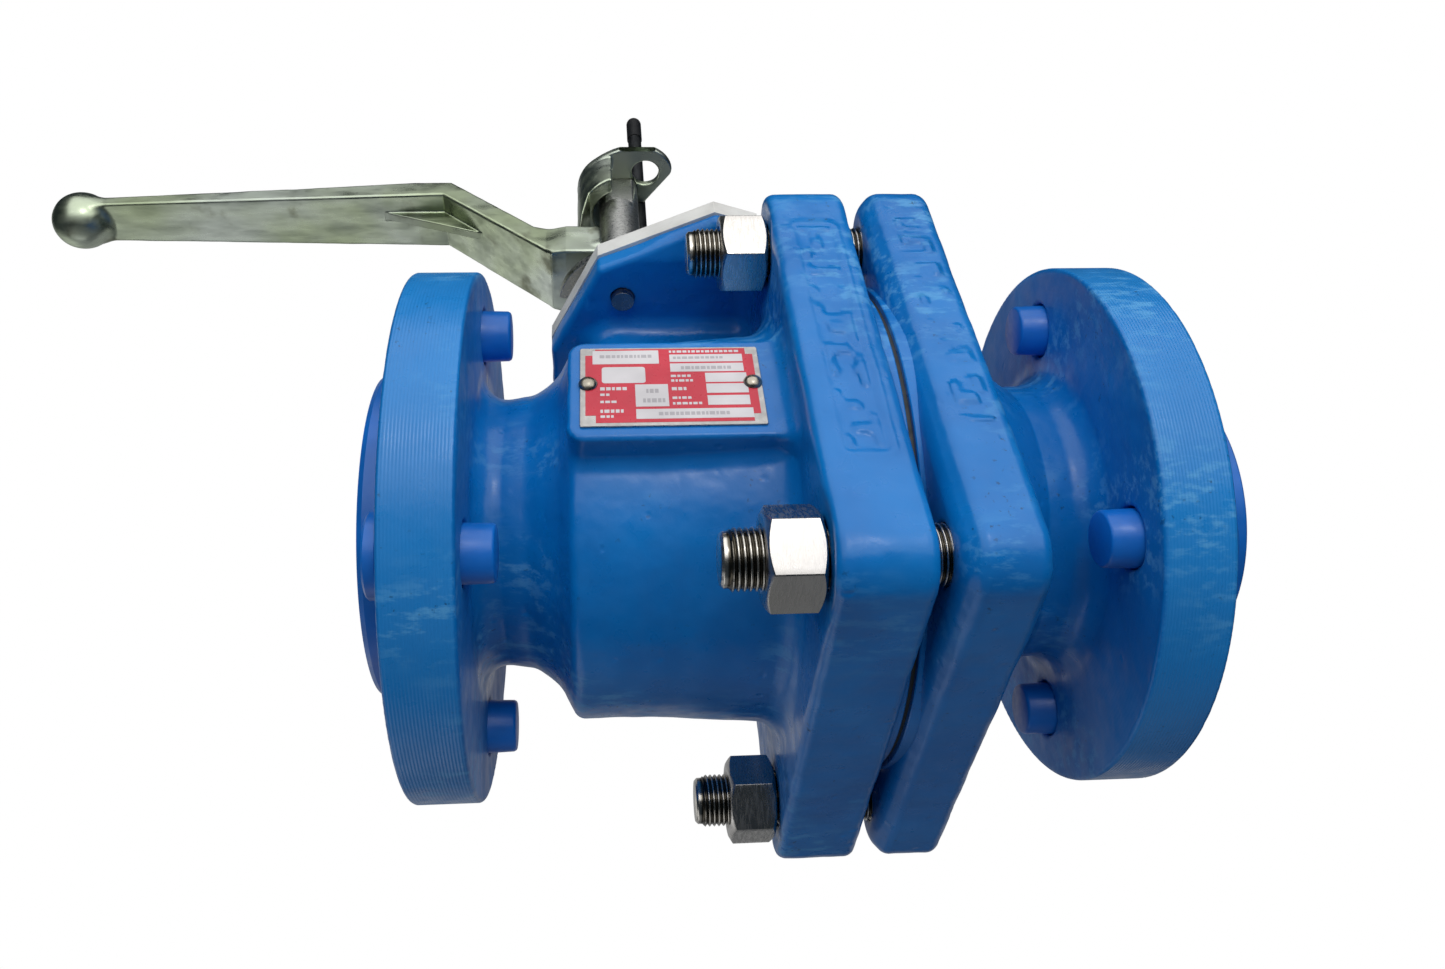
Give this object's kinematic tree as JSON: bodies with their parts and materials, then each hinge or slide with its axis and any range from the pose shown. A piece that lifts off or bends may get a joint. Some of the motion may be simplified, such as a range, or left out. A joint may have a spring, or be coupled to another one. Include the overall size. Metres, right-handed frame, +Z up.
{
  "type": "flanged ball valve",
  "caption": "Lined flanged quarter-turn ball valve with a split cast body, square bolted joint plates, a top pad, a cranked hand lever with a ball end, and a nameplate.",
  "frame": {"origin": "centre of the ball, on the pipe axis", "axes": "+X along the pipe from the short side to the long side, +Z up the stem axis, -Y is the nameplate side; the open lever points to -X"},
  "size_m": [0.3962, 0.165, 0.3521],
  "materials": {
    "cast_blue": "glossy blue paint on a sand casting",
    "cap_plastic": "blue moulded plastic",
    "lining": "smooth white fluoropolymer",
    "gasket_dark": "dark grey filled fluoropolymer",
    "seat_white": "machined white fluoropolymer",
    "core_steel": "turned steel",
    "stem_steel": "turned stainless steel",
    "spring_steel": "dark spring steel",
    "zinc_steel": "bright zinc plating",
    "plate_steel": "sawn and milled stainless plate",
    "black_steel": "black oxide",
    "zinc_lever": "yellowish zinc plating on a forging",
    "stud_steel": "stainless steel",
    "black_plastic": "black plastic cap",
    "nameplate_red": "red and white print on aluminium",
    "rivet_steel": "domed rivet heads"
  },
  "bodies": {
    "root": {"body": "cast_blue", "body_flange": "cast_blue", "body_plate": "cast_blue", "cover": "cast_blue", "cover_flange": "cast_blue", "cover_plate": "cast_blue", "body_liner": "lining", "cover_liner": "lining", "joint_gasket": "gasket_dark", "seat_ring_left": "seat_white", "seat_ring_right": "seat_white", "thrust_washer": "gasket_dark", "packing_rings": "seat_white", "gland_ring": "stem_steel", "top_plate": "plate_steel", "top_plate_screws": "black_steel", "stop_pin": "black_steel", "body_studs": "stud_steel", "body_nuts": "stud_steel", "nameplate": "nameplate_red", "nameplate_rivets": "rivet_steel"},
    "lever_stem_ball": {"ball_core": "core_steel", "ball_lining": "lining", "stem": "stem_steel", "disc_springs": "spring_steel", "gland_nut": "zinc_steel", "stop_plate": "zinc_steel", "lever": "zinc_lever", "lever_grip": "zinc_lever", "lever_washer": "zinc_steel", "lever_screw": "zinc_steel", "lock_rod": "black_steel", "lock_rod_cap": "black_plastic"}
  },
  "joints": [
    {"name": "lever_turn", "type": "hinge", "parent": "root", "child": "lever_stem_ball", "pos_m": [0, 0, 0], "axis": [0, 0, -1], "range_deg": [0, 90]}
  ]
}
